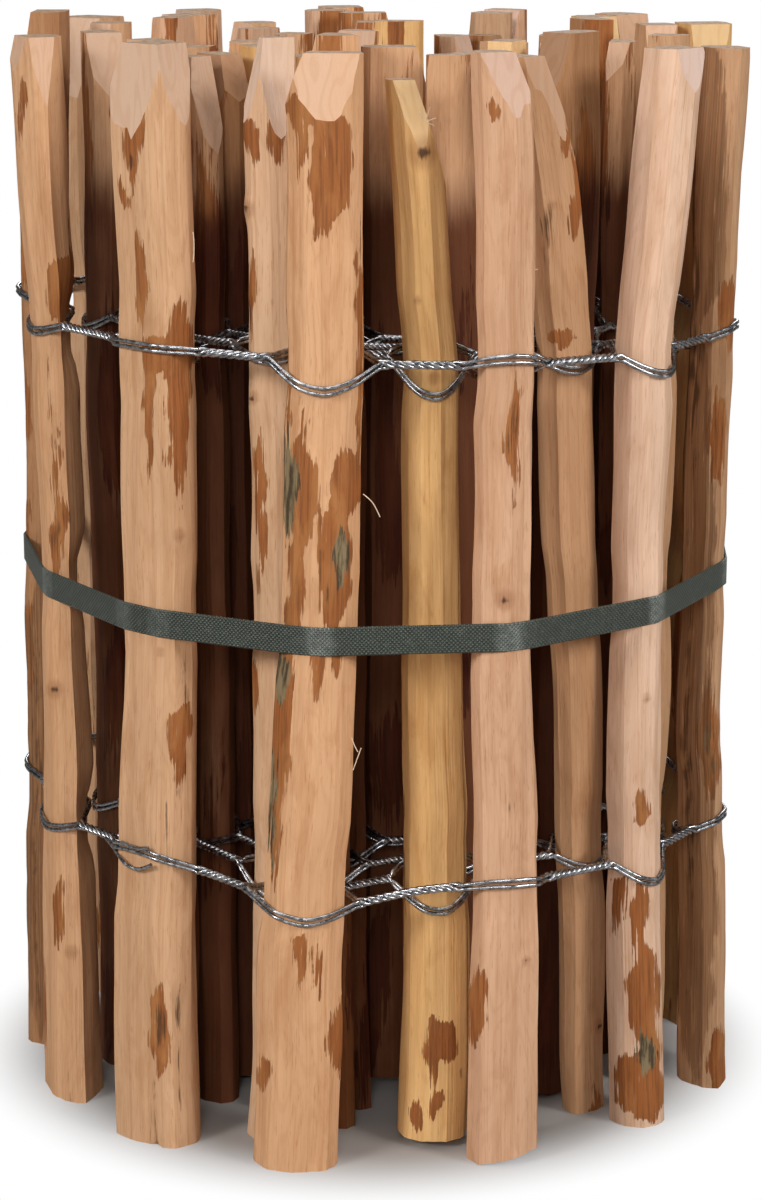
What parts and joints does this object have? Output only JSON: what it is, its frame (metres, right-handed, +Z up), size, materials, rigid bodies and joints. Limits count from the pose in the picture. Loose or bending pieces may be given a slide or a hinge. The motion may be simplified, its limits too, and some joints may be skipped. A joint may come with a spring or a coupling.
{
  "type": "roll of fencing",
  "caption": "Short roll of cleft paling fence: split wooden pales on two twisted wire lines, wound round a hollow core and held by a plastic strap.",
  "frame": {"origin": "middle of the roll's box, at the level its feet stand on", "axes": "+Z up along the roll's axis, -Y to the side shown in the picture"},
  "size_m": [0.3446, 0.337, 0.507],
  "materials": {
    "cleft_wood": "matte",
    "galvanised_wire": "satin",
    "strap_plastic": "satin"
  },
  "bodies": {
    "root": {"lower_first_wire_pair": "galvanised_wire", "lower_second_wire_pair": "galvanised_wire", "pale_01": "cleft_wood", "pale_02": "cleft_wood", "pale_03": "cleft_wood", "pale_04": "cleft_wood", "pale_05": "cleft_wood", "pale_06": "cleft_wood", "pale_07": "cleft_wood", "pale_08": "cleft_wood", "pale_09": "cleft_wood", "pale_10": "cleft_wood", "pale_11": "cleft_wood", "pale_12": "cleft_wood", "pale_13": "cleft_wood", "pale_14": "cleft_wood", "pale_15": "cleft_wood", "pale_16": "cleft_wood", "pale_17": "cleft_wood", "pale_18": "cleft_wood", "pale_19": "cleft_wood", "pale_20": "cleft_wood", "pale_21": "cleft_wood", "pale_22": "cleft_wood", "pale_23": "cleft_wood", "pale_24": "cleft_wood", "pale_25": "cleft_wood", "pale_26": "cleft_wood", "pale_27": "cleft_wood", "pale_28": "cleft_wood", "pale_29": "cleft_wood", "pale_30": "cleft_wood", "pale_31": "cleft_wood", "pale_32": "cleft_wood", "pale_33": "cleft_wood", "pale_34": "cleft_wood", "pale_35": "cleft_wood", "pale_36": "cleft_wood", "pale_37": "cleft_wood", "pale_38": "cleft_wood", "pale_39": "cleft_wood", "pale_40": "cleft_wood", "pale_41": "cleft_wood", "pale_42": "cleft_wood", "pale_43": "cleft_wood", "pale_44": "cleft_wood", "pale_45": "cleft_wood", "pale_46": "cleft_wood", "pale_47": "cleft_wood", "pale_48": "cleft_wood", "pale_49": "cleft_wood", "pale_50": "cleft_wood", "pale_51": "cleft_wood", "pale_52": "cleft_wood", "pale_53": "cleft_wood", "pale_54": "cleft_wood", "strap": "strap_plastic", "upper_first_wire_pair": "galvanised_wire", "upper_second_wire_pair": "galvanised_wire"}
  },
  "joints": []
}
